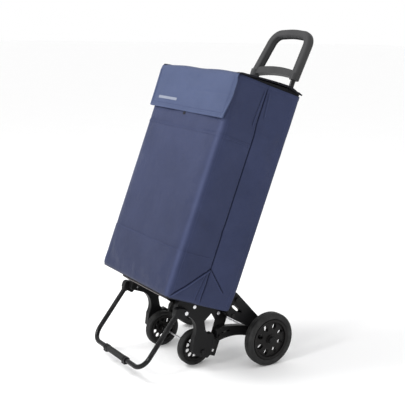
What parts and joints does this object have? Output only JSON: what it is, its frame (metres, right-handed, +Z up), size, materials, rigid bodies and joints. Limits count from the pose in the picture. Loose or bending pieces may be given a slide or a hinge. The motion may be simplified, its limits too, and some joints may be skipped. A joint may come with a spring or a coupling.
{
  "type": "shopping trolley",
  "caption": "Tall soft-bag shopping trolley on a tubular frame with large rear wheels, small front wheels, a folding foot loop, a D-shaped handle and a flap lid.",
  "frame": {"origin": "on the floor under the middle of the overall box, with all four tyres on the floor", "axes": "+Z up, +X to the right as seen from the front of the bag, +Y to the rear, towards the handle"},
  "size_m": [0.442, 0.6252, 0.9685],
  "materials": {
    "shell_fabric": "woven polyester, coated inside",
    "lining_fabric": "black woven lining",
    "webbing": "woven webbing",
    "board": "stiff base board",
    "handle_grey": "fine-grained moulded plastic",
    "moulded_black": "satin moulded plastic",
    "rim_black": "satin moulded plastic",
    "tyre_rubber": "matt rubber",
    "bush_nylon": "natural nylon",
    "tube_black": "gloss black paint",
    "sheet_black": "satin black paint",
    "zinc_steel": "zinc-plated"
  },
  "bodies": {
    "frame": {"platform": "sheet_black", "side_bracket_left": "sheet_black", "side_bracket_right": "sheet_black", "front_leg_left": "moulded_black", "front_leg_right": "moulded_black", "lower_arm_left": "moulded_black", "lower_arm_right": "moulded_black", "upper_arm_left": "moulded_black", "upper_arm_right": "moulded_black", "arm_pivot_rod": "zinc_steel", "arm_pivot_caps": "moulded_black", "arm_spacers": "moulded_black", "arm_bolts": "zinc_steel", "rivets": "zinc_steel", "frame_tube_left": "tube_black", "frame_tube_right": "tube_black", "tube_socket_left": "sheet_black", "tube_socket_right": "sheet_black", "handle": "handle_grey", "foot_pivots": "zinc_steel", "front_axle": "zinc_steel", "front_axle_caps": "moulded_black", "front_axle_spacers": "moulded_black", "rear_axle": "zinc_steel", "rear_axle_caps": "moulded_black", "rear_axle_spacers": "moulded_black", "bag_front": "shell_fabric", "bag_back": "shell_fabric", "bag_side_left": "shell_fabric", "bag_side_right": "shell_fabric", "bag_bottom": "shell_fabric", "bag_board": "board", "bag_lining": "lining_fabric", "bag_loops": "webbing"},
    "foot": {"foot_loop": "tube_black", "foot_hinge_left": "moulded_black", "foot_hinge_right": "moulded_black", "foot_clip_left": "moulded_black", "foot_clip_right": "moulded_black", "foot_sleeve": "moulded_black"},
    "lid": {"lid_top": "shell_fabric", "lid_flap": "shell_fabric", "closure_tab": "webbing"},
    "rear_wheel_left": {"rear_tyre_left": "tyre_rubber", "rear_rim_left": "rim_black", "rear_bush_left": "bush_nylon"},
    "front_wheel_left": {"front_tyre_left": "tyre_rubber", "front_rim_left": "rim_black", "front_bush_left": "bush_nylon"},
    "rear_wheel_right": {"rear_tyre_right": "tyre_rubber", "rear_rim_right": "rim_black", "rear_bush_right": "bush_nylon"},
    "front_wheel_right": {"front_tyre_right": "tyre_rubber", "front_rim_right": "rim_black", "front_bush_right": "bush_nylon"}
  },
  "joints": [
    {"name": "rear_wheel_left_spin", "type": "hinge", "parent": "frame", "child": "rear_wheel_left", "pos_m": [-0.2, 0.09453, 0.08], "axis": [1, 0, 0], "continuous": true},
    {"name": "front_wheel_left_spin", "type": "hinge", "parent": "frame", "child": "front_wheel_left", "pos_m": [-0.091, -0.09414, 0.054], "axis": [1, 0, 0], "continuous": true},
    {"name": "rear_wheel_right_spin", "type": "hinge", "parent": "frame", "child": "rear_wheel_right", "pos_m": [0.2, 0.09453, 0.08], "axis": [1, 0, 0], "continuous": true},
    {"name": "front_wheel_right_spin", "type": "hinge", "parent": "frame", "child": "front_wheel_right", "pos_m": [0.091, -0.09414, 0.054], "axis": [1, 0, 0], "continuous": true},
    {"name": "foot_loop_fold", "type": "hinge", "parent": "frame", "child": "foot", "pos_m": [0, -0.16758, 0.18745], "axis": [1, 0, 0], "range_deg": [0, 55]},
    {"name": "lid_open", "type": "hinge", "parent": "frame", "child": "lid", "pos_m": [0, 0.18031, 0.79569], "axis": [-1, 0, 0], "range_deg": [0, 100]}
  ]
}
